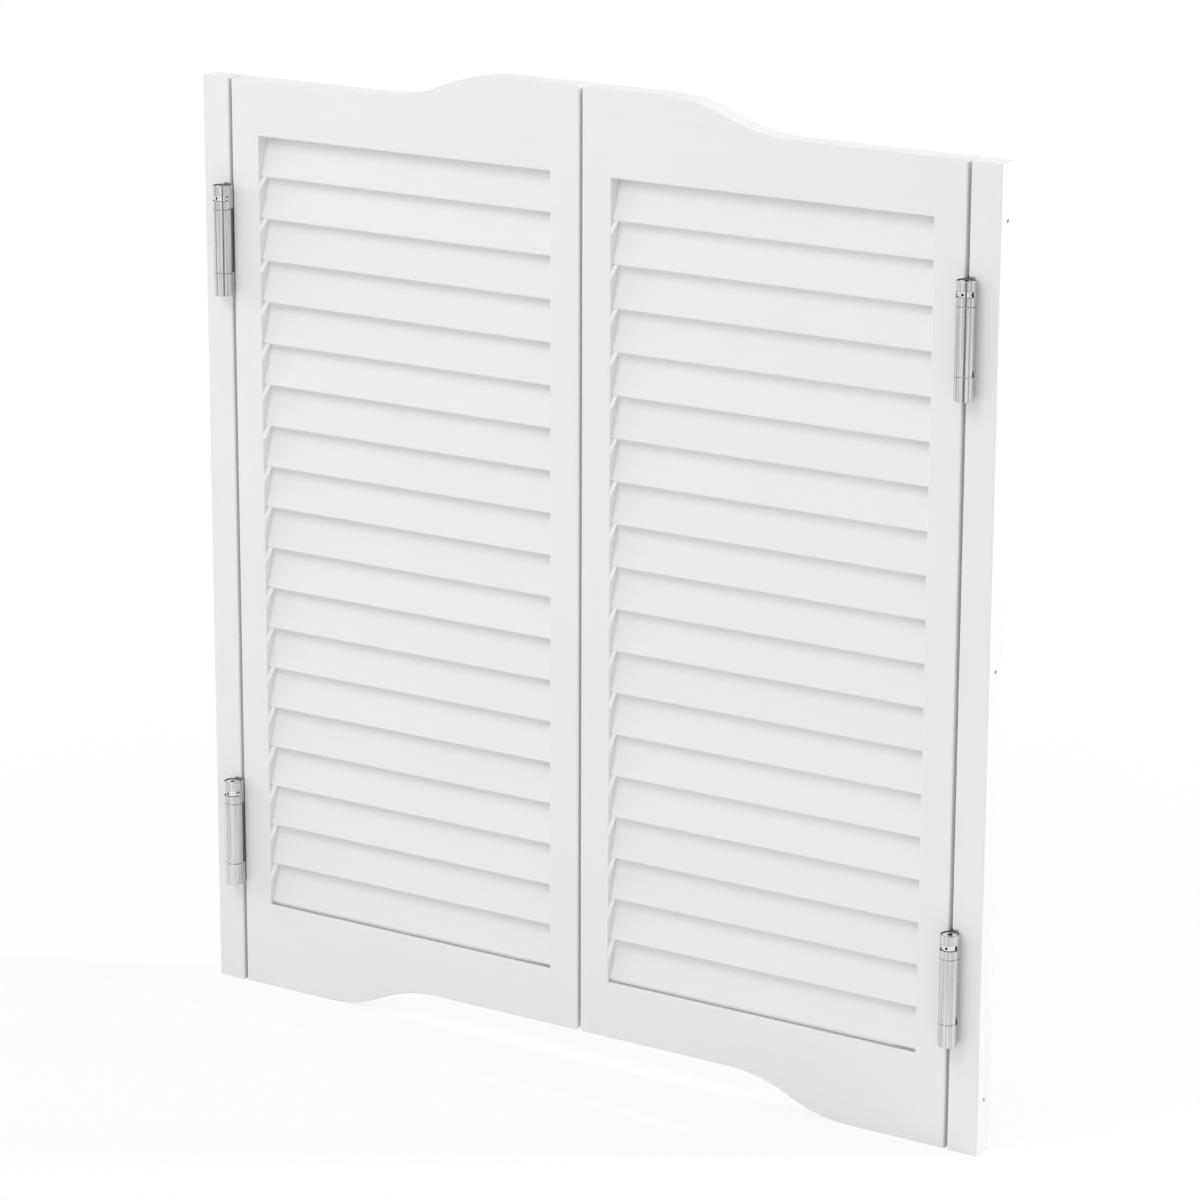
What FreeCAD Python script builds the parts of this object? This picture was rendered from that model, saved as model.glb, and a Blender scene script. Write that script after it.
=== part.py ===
import FreeCAD, Part
import math
import os

# A pair of louvred cafe doors on double-action spring hinges, with the two strips that are
# fixed to the sides of the doorway. Millimetres.
#
# X runs across the doorway, Y from the front to the back, Z up. The origin is midway between
# the leaves, at half their thickness, level with the foot of the mounting strips.
#
# Every piece is made once, for the left side, in the hinge seam's own place: u is the distance
# from the middle of the left hinge seam towards the leaf, v runs to the back like Y. The right
# side is its mirror image.

# ---------------------------------------------------------------- doorway and leaf
strip_height = 1067.0
strip_width = 36.0
leaf_width = 465.3
door_thickness = 27.5
hinge_gap = 4.0
centre_gap = 3.4
stile_width = 37.0
arris_radius = 2.0
leaf_corner_radius = 4.0

# ---------------------------------------------------------------- rails and their S curves
top_rail_height = 62.0
bottom_rail_height = 100.7
opening_arris_radius = 1.0
sill_arris_radius = 2.0
top_rise = 33.0
top_flat_run = 98.0
top_curve_run = 165.0
bottom_rise = 35.0
bottom_flat_run = 193.0
bottom_curve_run = 155.0
tenon_length = 22.0
tenon_thickness = 9.0
tenon_shoulder = 9.0
tenon_clearance = 0.1

# ---------------------------------------------------------------- slats
slat_count = 19
slat_width = 51.0
slat_thickness = 6.0
slat_tilt = 17.5
slat_edge_radius = 2.0
slat_gap_below = 1.2
slat_top_groove = 3.4
slat_housing_depth = 7.0
slat_housing_corner = 0.8
slat_clearance = 0.1

# ---------------------------------------------------------------- hinges
hinge_length = 125.0
top_hinge_inset = 120.0
bottom_hinge_inset = 122.5
barrel_radius = 10.4
barrel_wall = 1.6
barrel_offset = 5.5
barrel_standoff = 0.4
barrel_edge_radius = 0.5
lower_knuckle_length = 25.5
upper_knuckle_length = 26.5
knuckle_gap = 0.4
knuckle_cheek_reach = 2.5
flange_thickness = 2.0
flange_reach = 22.5
bed_notch_reach = 10.0
bed_notch_depth = 3.0
bed_notch_above = 1.6
link_thickness = 2.0
link_clearance = 0.6
cap_thickness = 4.0
cap_recess = 0.8
cap_hole_radius = 3.0

# ---------------------------------------------------------------- inside the spring barrels
running_clearance = 0.08
bearing_length = 4.0
spindle_radius = 3.0
spring_outer_radius = 8.2
spring_wire = 2.6
spring_end_gap = 0.3
spring_tang_height = 2.6
spring_slit_clearance = 0.15
collar_below_window = 13.0
collar_above_window = 1.5
window_from_top = 10.8
window_height = 6.2
window_end_offset = 1.8
tommy_hole_radius = 1.5
tommy_hole_depth = 4.5
tommy_hole_count = 5
stop_pin_radius = 1.4
stop_pin_proud = 1.6
stop_pin_bearing = 67.0

# ---------------------------------------------------------------- screws
flange_screw_end_distance = 14.0
flange_screw_stagger = 4.5
screw_head_radius = 3.7
screw_shank_radius = 1.6
screw_length = 24.0
screw_clearance = 0.05
mounting_hole_radius = 2.3
mounting_sink_radius = 4.6
mounting_end_distance = 60.0

# ---------------------------------------------------------------- worked out from the above
half_gap = hinge_gap / 2
half_thickness = door_thickness / 2
seam_x = centre_gap / 2 + leaf_width + half_gap
leaf_start = half_gap
leaf_end = half_gap + leaf_width
opening_start = leaf_start + stile_width
opening_end = leaf_end - stile_width
opening_bottom = bottom_rail_height
opening_top = strip_height - top_rail_height
leaf_top = strip_height + top_rise

barrel_bore = barrel_radius - barrel_wall
barrel_u = -barrel_offset
barrel_v = -(half_thickness + barrel_standoff + barrel_radius)
lower_knuckle = (0.0, lower_knuckle_length)
upper_knuckle = (hinge_length - upper_knuckle_length, hinge_length)
tube_span = (lower_knuckle[1] + knuckle_gap, upper_knuckle[0] - knuckle_gap)
window_top = hinge_length - window_from_top
window_span = (window_top - window_height, window_top)
collar_span = (window_span[0] - collar_below_window, window_top + collar_above_window)
foot_top = tube_span[0] + bearing_length
tommy_height = (window_span[0] + window_span[1]) / 2

screw_middle_v = -half_thickness + flange_reach / 2
flange_screw_heights = (
    flange_screw_end_distance,
    hinge_length / 2,
    hinge_length - flange_screw_end_distance,
)
hinge_bottoms = {
    "lower": bottom_hinge_inset,
    "upper": strip_height - top_hinge_inset - hinge_length,
}


# ---------------------------------------------------------------- plain shapes
def box(x_range, y_range, z_range):
    """A box between two values on each axis."""
    corner = FreeCAD.Vector(x_range[0], y_range[0], z_range[0])
    size = [high - low for low, high in (x_range, y_range, z_range)]
    return Part.makeBox(*size, corner)


def in_barrel(radius, z_range):
    """An upright cylinder on the front barrel's axis."""
    foot = FreeCAD.Vector(barrel_u, barrel_v, z_range[0])
    return Part.makeCylinder(radius, z_range[1] - z_range[0], foot)


def half_turn(shape):
    """The same shape turned about the hinge's middle, from the front barrel to the back one."""
    turned = shape.copy()
    turned.rotate(FreeCAD.Vector(), FreeCAD.Vector(0, 0, 1), 180)
    return turned


def raised(shape, height):
    """The same shape at another height."""
    moved = shape.copy()
    moved.translate(FreeCAD.Vector(0, 0, height))
    return moved


def rounded(shape, wanted, radius=arris_radius):
    """The shape with a radius along the edges whose middle passes the test."""
    edges = [edge for edge in shape.Edges if wanted(edge.CenterOfMass)]
    return shape.makeFillet(radius, edges)


def near(value, target):
    """Whether two lengths are the same to a hundredth."""
    return abs(value - target) < 0.01


def barrel_length(z_range):
    """A length of the front barrel before it is bored, with its outer edges eased."""
    return rounded(in_barrel(barrel_radius, z_range), lambda p: is_in(p.z, z_range), barrel_edge_radius)


def is_in(value, targets):
    """Whether a length is the same as one of several to a hundredth."""
    return any(near(value, target) for target in targets)


def is_face_arris(point):
    """Whether a point lies on the front or the back face of the doors."""
    return near(abs(point.y), half_thickness)


def opening_arrises(edge_u, inwards):
    """What a stile loses along its two edges at the opening, which are eased between the rails."""
    radius = opening_arris_radius
    span = (opening_bottom, opening_top)
    arrises = []
    for face in (-half_thickness, half_thickness):
        axis_v = face - math.copysign(radius, face)
        corner = box(sorted((edge_u, edge_u - inwards * radius)), sorted((face, axis_v)), span)
        axis = FreeCAD.Vector(edge_u - inwards * radius, axis_v, opening_bottom)
        arrises.append(corner.cut(Part.makeCylinder(radius, opening_top - opening_bottom, axis)))
    return arrises


# ---------------------------------------------------------------- flanges and their screws
def screw_stations():
    """The v and height of each screw in a jamb flange, staggered about its middle."""
    for index, height in enumerate(flange_screw_heights):
        side = 1 if index % 2 else -1
        yield screw_middle_v + side * flange_screw_stagger, height


def flange_sinks():
    """The countersinks through a jamb flange, with no clearance."""
    sinks = []
    for v, height in screw_stations():
        mouth = FreeCAD.Vector(-half_gap, v, height)
        throat = screw_head_radius - flange_thickness
        inwards = FreeCAD.Vector(-1, 0, 0)
        sinks.append(Part.makeCone(screw_head_radius, throat, flange_thickness, mouth, inwards))
    return sinks


def make_flange():
    """The jamb flange: a plate let into the strip, and the long middle tube of the front barrel."""
    plate_u = (-half_gap - flange_thickness, -half_gap)
    plate = box(plate_u, (-half_thickness, flange_reach - half_thickness), (0, hinge_length))
    web = box(plate_u, (barrel_v, -half_thickness), tube_span)
    tube = barrel_length(tube_span)
    slit_half = spring_wire / 2 + spring_slit_clearance
    slit = box(
        (barrel_u - barrel_radius - 1, barrel_u),
        (barrel_v - slit_half, barrel_v + slit_half),
        (tube_span[0] - 1, foot_top + spring_end_gap + spring_tang_height + spring_slit_clearance),
    )
    flange = plate.fuse([web, tube])
    return flange.cut([in_barrel(barrel_bore, tube_span), slit] + flange_sinks()).removeSplitter()


def make_flange_screws():
    """Countersunk wood screws, flush with the jamb flange."""
    screws = []
    inwards = FreeCAD.Vector(-1, 0, 0)
    head = screw_head_radius - screw_clearance
    for v, height in screw_stations():
        mouth = FreeCAD.Vector(-half_gap, v, height)
        cone = Part.makeCone(head, screw_shank_radius, head - screw_shank_radius, mouth, inwards)
        shank = Part.makeCylinder(screw_shank_radius, screw_length, mouth, inwards)
        screws.append(cone.fuse(shank).removeSplitter())
    return screws


def flange_bed():
    """What the strip loses to one jamb flange: its bed, a notch behind the barrel and the pilot holes."""
    bed = [
        box(
            (-half_gap - flange_thickness, 0),
            (-half_thickness - 1, flange_reach - half_thickness),
            (0, hinge_length),
        ),
        box(
            (-bed_notch_reach, 0),
            (-half_thickness - 1, bed_notch_depth - half_thickness),
            (0, hinge_length + bed_notch_above),
        ),
    ]
    for v, height in screw_stations():
        mouth = FreeCAD.Vector(-half_gap, v, height)
        bed.append(
            Part.makeCylinder(
                screw_shank_radius + screw_clearance,
                screw_length + screw_clearance,
                mouth,
                FreeCAD.Vector(-1, 0, 0),
            )
        )
    return bed


# ---------------------------------------------------------------- link between the two barrels
def make_half_link():
    """Half of the link plate, with the two end knuckles of the front barrel and their cheeks."""
    plate_u = (-link_thickness / 2, link_thickness / 2)
    cheek_u = (-link_thickness / 2, knuckle_cheek_reach)
    cheek_v = (barrel_v, -half_thickness - barrel_standoff)
    clear_radius = barrel_radius + link_clearance
    clear_v = barrel_v + math.sqrt(clear_radius**2 - (barrel_offset - link_thickness / 2) ** 2)
    pieces = [
        box(plate_u, (barrel_v, 0), lower_knuckle),
        box(plate_u, (barrel_v, 0), upper_knuckle),
        box(cheek_u, cheek_v, lower_knuckle),
        box(cheek_u, cheek_v, upper_knuckle),
        barrel_length(lower_knuckle),
        barrel_length(upper_knuckle),
    ]
    plate = box(plate_u, (clear_v, 0), (0, hinge_length))
    cap_top = hinge_length - cap_recess
    cap = in_barrel(barrel_bore, (cap_top - cap_thickness, cap_top))
    window = box(
        (barrel_u - barrel_radius - 1, barrel_u + barrel_radius + 1),
        (barrel_v - barrel_radius - 1, barrel_v - window_end_offset),
        window_span,
    )
    half = plate.fuse(pieces).cut([in_barrel(barrel_bore, (0, hinge_length)), window])
    return half.fuse(cap).cut(in_barrel(cap_hole_radius, (0, hinge_length)))


def make_link():
    """The whole link: the same half twice, so that the barrels lie on opposite faces of the door."""
    half = make_half_link()
    return half.fuse(half_turn(half)).removeSplitter()


# ---------------------------------------------------------------- inside a barrel
def make_spindle():
    """A turned foot held in the lower knuckle, and the rod that the spring is wound round."""
    foot = in_barrel(barrel_bore - running_clearance, (lower_knuckle[0], foot_top))
    rod_top = collar_span[0] + bearing_length
    return foot.fuse(in_barrel(spindle_radius, (foot_top, rod_top))).removeSplitter()


def make_spring():
    """A close-wound torsion spring, whose lower end hooks into the slit of the tube."""
    low = foot_top + spring_end_gap
    span = (low, collar_span[0] - spring_end_gap)
    coil = in_barrel(spring_outer_radius, span).cut(in_barrel(spring_outer_radius - spring_wire, span))
    tang = box(
        (barrel_u - barrel_radius, barrel_u - spring_outer_radius + spring_wire / 2),
        (barrel_v - spring_wire / 2, barrel_v + spring_wire / 2),
        (low, low + spring_tang_height),
    )
    return coil.fuse(tang).removeSplitter()


def radial_rod(radius, inner, outer, bearing):
    """A level rod through the collar, at an angle from straight ahead, between two distances."""
    angle = math.radians(bearing)
    outwards = FreeCAD.Vector(math.sin(angle), -math.cos(angle), 0)
    start = FreeCAD.Vector(barrel_u, barrel_v, tommy_height) + outwards * inner
    return Part.makeCylinder(radius, outer - inner, start, outwards)


def make_collar():
    """The tension collar: a plug with a socket for the spindle and holes for a tommy bar."""
    body = in_barrel(barrel_bore - running_clearance, collar_span)
    socket_top = collar_span[0] + bearing_length + running_clearance
    cuts = [in_barrel(spindle_radius + running_clearance, (collar_span[0], socket_top))]
    for index in range(tommy_hole_count):
        bearing = stop_pin_bearing + index * 360.0 / tommy_hole_count
        cuts.append(radial_rod(tommy_hole_radius, barrel_bore - tommy_hole_depth, barrel_radius, bearing))
    return body.cut(cuts)


def make_stop_pin():
    """The pin that stands in a tommy hole and keeps the spring wound, against the window's end."""
    return radial_rod(
        stop_pin_radius,
        barrel_bore - tommy_hole_depth,
        barrel_radius + stop_pin_proud,
        stop_pin_bearing,
    )


# ---------------------------------------------------------------- wood
def make_strip():
    """A mounting strip, with the beds of its two flanges and its own countersunk holes."""
    outer = -half_gap - strip_width
    strip = box((outer, -half_gap), (-half_thickness, half_thickness), (0, strip_height))
    strip = rounded(strip, lambda p: is_face_arris(p) and near(p.z, strip_height / 2))
    cuts = []
    for height in mounting_hole_heights():
        mouth = FreeCAD.Vector(-half_gap, 0, height)
        outwards = FreeCAD.Vector(-1, 0, 0)
        depth = mounting_sink_radius - mounting_hole_radius
        cuts.append(Part.makeCylinder(mounting_hole_radius, strip_width, mouth, outwards))
        cuts.append(Part.makeCone(mounting_sink_radius, mounting_hole_radius, depth, mouth, outwards))
    for bottom in hinge_bottoms.values():
        cuts += [raised(shape, bottom) for shape in flange_bed()]
    return strip.cut(cuts)


def mounting_hole_heights():
    """The heights of the holes that take the screws into the doorway."""
    return (mounting_end_distance, strip_height / 2, strip_height - mounting_end_distance)


def s_curve(start, end):
    """Two equal arcs between level runs, from one (u, z) point to another."""
    run = end[0] - start[0]
    rise = end[1] - start[1]
    radius = (run**2 + rise**2) / (4 * abs(rise))
    swing = math.asin(abs(run) / 2 / radius) / 2
    across = math.copysign(radius * math.sin(swing), run)
    drop = math.copysign(radius * (1 - math.cos(swing)), rise)
    middle = ((start[0] + end[0]) / 2, (start[1] + end[1]) / 2)
    first = (start[0] + across, start[1] + drop)
    second = (end[0] - across, end[1] - drop)
    points = [FreeCAD.Vector(u, 0, z) for u, z in (start, first, middle, second, end)]
    return [Part.Arc(*points[:3]).toShape(), Part.Arc(*points[2:]).toShape()]


def rail_blank(straight_z, straight_radius, hinge_z, meeting_z, flat_run, curve_run):
    """A rail between the stiles: one long edge straight, the other with an S curve."""
    curve_end = leaf_end - flat_run
    curve_start = curve_end - curve_run
    line = [
        (curve_end, meeting_z),
        (opening_end, meeting_z),
        (opening_end, straight_z),
        (opening_start, straight_z),
        (opening_start, hinge_z),
        (curve_start, hinge_z),
    ]
    points = [FreeCAD.Vector(u, 0, z) for u, z in line]
    edges = [Part.makeLine(a, b) for a, b in zip(points, points[1:])]
    edges += s_curve((curve_start, hinge_z), (curve_end, meeting_z))
    face = Part.Face(Part.Wire(Part.__sortEdges__(edges)))
    face.translate(FreeCAD.Vector(0, -half_thickness, 0))
    blank = face.extrude(FreeCAD.Vector(0, door_thickness, 0))

    def is_long_edge(point):
        return is_face_arris(point) and opening_start + 1 < point.x < opening_end - 1

    blank = rounded(blank, lambda p: is_long_edge(p) and near(p.z, straight_z), straight_radius)
    return rounded(blank, lambda p: is_long_edge(p) and not near(p.z, straight_z))


def tenon(z_range, at_hinge, clearance=0.0):
    """A stub tenon that runs from a rail's shoulder into a stile."""
    if at_hinge:
        u_range = (opening_start - tenon_length - clearance, opening_start)
    else:
        u_range = (opening_end, opening_end + tenon_length + clearance)
    half = tenon_thickness / 2 + clearance
    low, high = z_range
    return box(u_range, (-half, half), (low - clearance, high + clearance))


top_tenons = {
    True: (opening_top + tenon_shoulder, strip_height - tenon_shoulder),
    False: (opening_top + tenon_shoulder, leaf_top - tenon_shoulder),
}
bottom_tenons = {
    True: (tenon_shoulder, opening_bottom - tenon_shoulder),
    False: (bottom_rise + tenon_shoulder, opening_bottom - tenon_shoulder),
}


def make_top_rail():
    """The rail above the slats, higher at the meeting side, with a groove for the top slat's upper edge."""
    heights = (opening_top, opening_arris_radius, strip_height, leaf_top)
    blank = rail_blank(*heights, top_flat_run, top_curve_run)
    rail = blank.fuse([tenon(span, at_hinge) for at_hinge, span in top_tenons.items()])
    return rail.cut(slat_housings((opening_start, opening_end))[-1])


def make_bottom_rail():
    """The rail below the slats, cut away at the meeting side."""
    heights = (opening_bottom, sill_arris_radius, 0.0, bottom_rise)
    blank = rail_blank(*heights, bottom_flat_run, bottom_curve_run)
    return blank.fuse([tenon(span, at_hinge) for at_hinge, span in bottom_tenons.items()])


def slat_centres():
    """The height of each slat's middle, evenly spaced. The top slat's upper edge lies in the top rail."""
    tilt = math.radians(slat_tilt)
    half_rise = (slat_width * math.cos(tilt) + slat_thickness * math.sin(tilt)) / 2
    lowest = opening_bottom + slat_gap_below + half_rise
    highest = opening_top + slat_top_groove - half_rise
    return [lowest + (highest - lowest) * index / (slat_count - 1) for index in range(slat_count)]


def tilted_bars(u_range, clearance, edge_radius):
    """A bar along u for each slat, tilted so that its foot is in front, with its long edges rounded."""
    across = slat_thickness / 2 + clearance
    along = slat_width / 2 + clearance
    bar = box(u_range, (-across, across), (-along, along))
    bar = rounded(bar, lambda p: near(abs(p.y), across) and near(abs(p.z), along), edge_radius)
    bar.rotate(FreeCAD.Vector(), FreeCAD.Vector(1, 0, 0), -slat_tilt)
    return [raised(bar, height) for height in slat_centres()]


def make_slats():
    """The slats, reaching into the housings of both stiles."""
    reach = slat_housing_depth - slat_clearance
    return tilted_bars((opening_start - reach, opening_end + reach), 0.0, slat_edge_radius)


def slat_housings(u_range):
    """The slanted housing round each slat along a range of u, with the router's small corner radius."""
    return tilted_bars(u_range, slat_clearance, slat_housing_corner)


def make_hinge_stile():
    """The stile that carries the door flanges, as tall as the mounting strip."""
    u_range = (leaf_start, opening_start)
    stile = box(u_range, (-half_thickness, half_thickness), (0, strip_height))
    stile = rounded(stile, lambda p: is_face_arris(p) and not near(p.x, opening_start))
    cuts = slat_housings((opening_start - slat_housing_depth, opening_start))
    cuts += opening_arrises(opening_start, 1)
    cuts += [tenon(spans[True], True, tenon_clearance) for spans in (top_tenons, bottom_tenons)]
    for bottom in hinge_bottoms.values():
        cuts += [raised(half_turn(shape), bottom) for shape in flange_bed()]
    return stile.cut(cuts)


def make_meeting_stile():
    """The stile at the middle of the doorway, set higher than the hinge stile."""
    u_range = (opening_end, leaf_end)
    ends = (bottom_rise, leaf_top)
    stile = box(u_range, (-half_thickness, half_thickness), ends)

    def is_outer_corner(point):
        at_end = near(point.z, ends[0]) or near(point.z, ends[1])
        return near(point.x, leaf_end) and near(point.y, 0) and at_end

    stile = rounded(stile, is_outer_corner, leaf_corner_radius)
    stile = rounded(stile, lambda p: is_face_arris(p) and not near(p.x, opening_end))
    cuts = slat_housings((opening_end, opening_end + slat_housing_depth))
    cuts += opening_arrises(opening_end, -1)
    cuts += [tenon(spans[False], False, tenon_clearance) for spans in (top_tenons, bottom_tenons)]
    return stile.cut(cuts)


# ---------------------------------------------------------------- both sides, and the files
def to_left(shape):
    """A shape from the seam's place to the left of the doorway."""
    placed = shape.copy()
    placed.translate(FreeCAD.Vector(-seam_x, 0, 0))
    return placed


def to_right(shape):
    """The mirror image of the left side."""
    return to_left(shape).mirror(FreeCAD.Vector(), FreeCAD.Vector(1, 0, 0))


def export(name, shapes):
    """Write one node: a single solid, or a group of separate ones."""
    shape = shapes[0] if len(shapes) == 1 else Part.makeCompound(shapes)
    if not shape.isValid():
        raise ValueError(name + " is not a valid shape")
    shape.exportStep("parts/" + name + ".step")


def main():
    os.makedirs("parts", exist_ok=True)
    flange = make_flange()
    flange_screws = make_flange_screws()
    link = make_link()
    spindle = make_spindle()
    spring = make_spring()
    collar = make_collar()
    stop_pin = make_stop_pin()
    wood = {
        "mounting_strip": [make_strip()],
        "hinge_stile": [make_hinge_stile()],
        "meeting_stile": [make_meeting_stile()],
        "top_rail": [make_top_rail()],
        "bottom_rail": [make_bottom_rail()],
        "slats": make_slats(),
    }
    jamb_screws = []
    jamb_springs = []
    for side, place in (("left", to_left), ("right", to_right)):
        for name, shapes in wood.items():
            export(side + "_" + name, [place(shape) for shape in shapes])
        spindles = []
        door_screws = []
        door_springs = []
        for level, bottom in hinge_bottoms.items():
            hinge = side + "_" + level + "_"

            def here(shape):
                return place(raised(shape, bottom))

            export(hinge + "jamb_flange", [here(flange)])
            export(hinge + "door_flange", [here(half_turn(flange))])
            export(hinge + "link", [here(link)])
            export(hinge + "front_collar", [here(collar)])
            export(hinge + "back_collar", [here(half_turn(collar))])
            export(hinge + "front_stop_pin", [here(stop_pin)])
            export(hinge + "back_stop_pin", [here(half_turn(stop_pin))])
            spindles += [here(spindle), here(half_turn(spindle))]
            jamb_screws += [here(screw) for screw in flange_screws]
            door_screws += [here(half_turn(screw)) for screw in flange_screws]
            jamb_springs.append(here(spring))
            door_springs.append(here(half_turn(spring)))
        export(side + "_spindles", spindles)
        export(side + "_door_flange_screws", door_screws)
        export(side + "_door_springs", door_springs)
    export("jamb_flange_screws", jamb_screws)
    export("jamb_springs", jamb_springs)


main()
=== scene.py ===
"""The looks of a pair of louvred cafe doors on double-action spring hinges.

Sizes are in metres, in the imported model's own frame: X runs across the doorway, Y from the
front to the back, and Z up from the foot of the mounting strips.
"""

import logging
import math
from dataclasses import dataclass, replace
from enum import Enum
from functools import cache
from typing import Any

import bmesh
import bpy
from bpy.types import Material, Node, NodeSocket, NodeTree, Object
from mathutils import Matrix, Vector


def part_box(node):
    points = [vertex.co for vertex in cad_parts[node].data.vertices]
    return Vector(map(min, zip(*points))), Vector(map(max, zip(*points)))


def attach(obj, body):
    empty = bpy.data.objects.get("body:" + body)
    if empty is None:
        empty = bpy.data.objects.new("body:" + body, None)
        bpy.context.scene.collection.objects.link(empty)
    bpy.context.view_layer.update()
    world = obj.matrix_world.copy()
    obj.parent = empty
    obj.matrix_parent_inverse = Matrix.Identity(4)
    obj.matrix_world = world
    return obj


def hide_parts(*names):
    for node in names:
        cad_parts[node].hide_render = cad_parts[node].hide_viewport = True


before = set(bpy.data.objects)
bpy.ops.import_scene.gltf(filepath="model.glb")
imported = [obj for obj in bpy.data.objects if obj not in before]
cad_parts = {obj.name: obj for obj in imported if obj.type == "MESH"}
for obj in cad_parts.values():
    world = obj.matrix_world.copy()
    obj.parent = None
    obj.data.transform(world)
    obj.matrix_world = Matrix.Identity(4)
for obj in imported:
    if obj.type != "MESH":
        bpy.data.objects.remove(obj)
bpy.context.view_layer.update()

MM = 0.001
SEAM = 469 * MM
SEED = 7
SLAT_TONE = "slat_tone"
CORNER_STEPS = 6
WHITE = (1.0, 1.0, 1.0, 1.0)
# The places of sockets whose names their node uses more than once.
MIX_FACTOR, MIX_FIRST, MIX_SECOND, MIX_RESULT = 0, 6, 7, 2
CHANCE_LOW, CHANCE_HIGH, CHANCE_RESULT = 2, 3, 1

Pair = tuple[float, float]
Triple = tuple[float, float, float]
Settings = dict[str, Any] | None
Sockets = dict[Any, Any] | None

log = logging.getLogger("cafe_doors")


# --- node trees
class Value:
    """A number in a node tree. Python's operators on it add the tree's Math nodes."""

    def __init__(self, bench: "Bench", socket: NodeSocket) -> None:
        """Wrap one output socket of a tree."""
        self.bench = bench
        self.socket = socket

    def math(self, operation: str, first: "Number", second: "Number" = 0.0) -> "Value":
        """The result of one Math node, by its operation and its numbers."""
        node = self.bench.add("ShaderNodeMath", {"operation": operation}, {0: first, 1: second})
        return Value(self.bench, node.outputs[0])

    def __add__(self, other: "Number") -> "Value":
        """This number plus another."""
        return self.math("ADD", self, other)

    def __radd__(self, other: "Number") -> "Value":
        """Another number plus this one."""
        return self.math("ADD", other, self)

    def __sub__(self, other: "Number") -> "Value":
        """This number less another."""
        return self.math("SUBTRACT", self, other)

    def __rsub__(self, other: "Number") -> "Value":
        """Another number less this one."""
        return self.math("SUBTRACT", other, self)

    def __mul__(self, other: "Number") -> "Value":
        """This number times another."""
        return self.math("MULTIPLY", self, other)

    def __rmul__(self, other: "Number") -> "Value":
        """Another number times this one."""
        return self.math("MULTIPLY", other, self)

    def __truediv__(self, other: "Number") -> "Value":
        """This number over another."""
        return self.math("DIVIDE", self, other)

    def __gt__(self, other: "Number") -> "Value":
        """1 where this number is above another, else 0."""
        return self.math("GREATER_THAN", self, other)

    def size(self) -> "Value":
        """This number without its sign."""
        return self.math("ABSOLUTE", self)

    def root(self) -> "Value":
        """The square root of this number."""
        return self.math("SQRT", self)

    def at_least(self, other: "Number") -> "Value":
        """The larger of this number and another."""
        return self.math("MAXIMUM", self, other)

    def at_most(self, other: "Number") -> "Value":
        """The smaller of this number and another."""
        return self.math("MINIMUM", self, other)

    def centred(self) -> "Value":
        """This number from 0 to 1, counted from one half."""
        return self - 0.5

    def ramp(
        self, low: "Number", high: "Number", start: "Number" = 0.0, end: "Number" = 1.0
    ) -> "Value":
        """A smooth step, which gives start below the low number and end above the high one."""
        node = self.bench.add(
            "ShaderNodeMapRange",
            {"interpolation_type": "SMOOTHSTEP"},
            {"Value": self, "From Min": low, "From Max": high, "To Min": start, "To Max": end},
        )
        return Value(self.bench, node.outputs["Result"])


Number = float | Value


class Bench:
    """A node tree, and the one method that puts nodes in it."""

    def __init__(self, tree: NodeTree) -> None:
        """Work on one node tree."""
        self.tree = tree

    def add(self, kind: str, settings: Settings = None, sockets: Sockets = None) -> Node:
        """Put one node in the tree.

        Args:
            kind: the node's type.
            settings: its own settings, which are set first.
            sockets: a number, a colour, a Value or a socket for each input, by name or place.

        Returns:
            The node.
        """
        node = self.tree.nodes.new(kind)
        for name, setting in (settings or {}).items():
            setattr(node, name, setting)
        for key, given in (sockets or {}).items():
            source = getattr(given, "socket", given)
            if isinstance(source, NodeSocket):
                self.tree.links.new(source, node.inputs[key])
            else:
                node.inputs[key].default_value = source
        return node

    def value(
        self, kind: str, output: Any, settings: Settings = None, sockets: Sockets = None
    ) -> Value:
        """Put one node in the tree, as add does, and wrap the output of this name or place."""
        return Value(self, self.add(kind, settings, sockets).outputs[output])

    def split(self, vector: NodeSocket) -> tuple[Value, Value, Value]:
        """The x, y and z of a vector."""
        x, y, z = self.add("ShaderNodeSeparateXYZ", None, {0: vector}).outputs
        return Value(self, x), Value(self, y), Value(self, z)

    def is_seen(self) -> Value:
        """Tell what the camera sees, straight or in polished metal or glass.

        Returns:
            1 for what it sees, else 0.
        """
        rays = self.add("ShaderNodeLightPath").outputs
        camera, glossy, through = (
            Value(self, rays[f"Is {kind} Ray"]) for kind in ("Camera", "Glossy", "Transmission")
        )
        return camera.at_least(glossy.at_least(through))


# --- finishes
def rgba(colour: Triple, factor: float = 1.0) -> tuple[float, float, float, float]:
    """A colour, lightened or darkened by a factor, with its alpha."""
    return (colour[0] * factor, colour[1] * factor, colour[2] * factor, 1.0)


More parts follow.
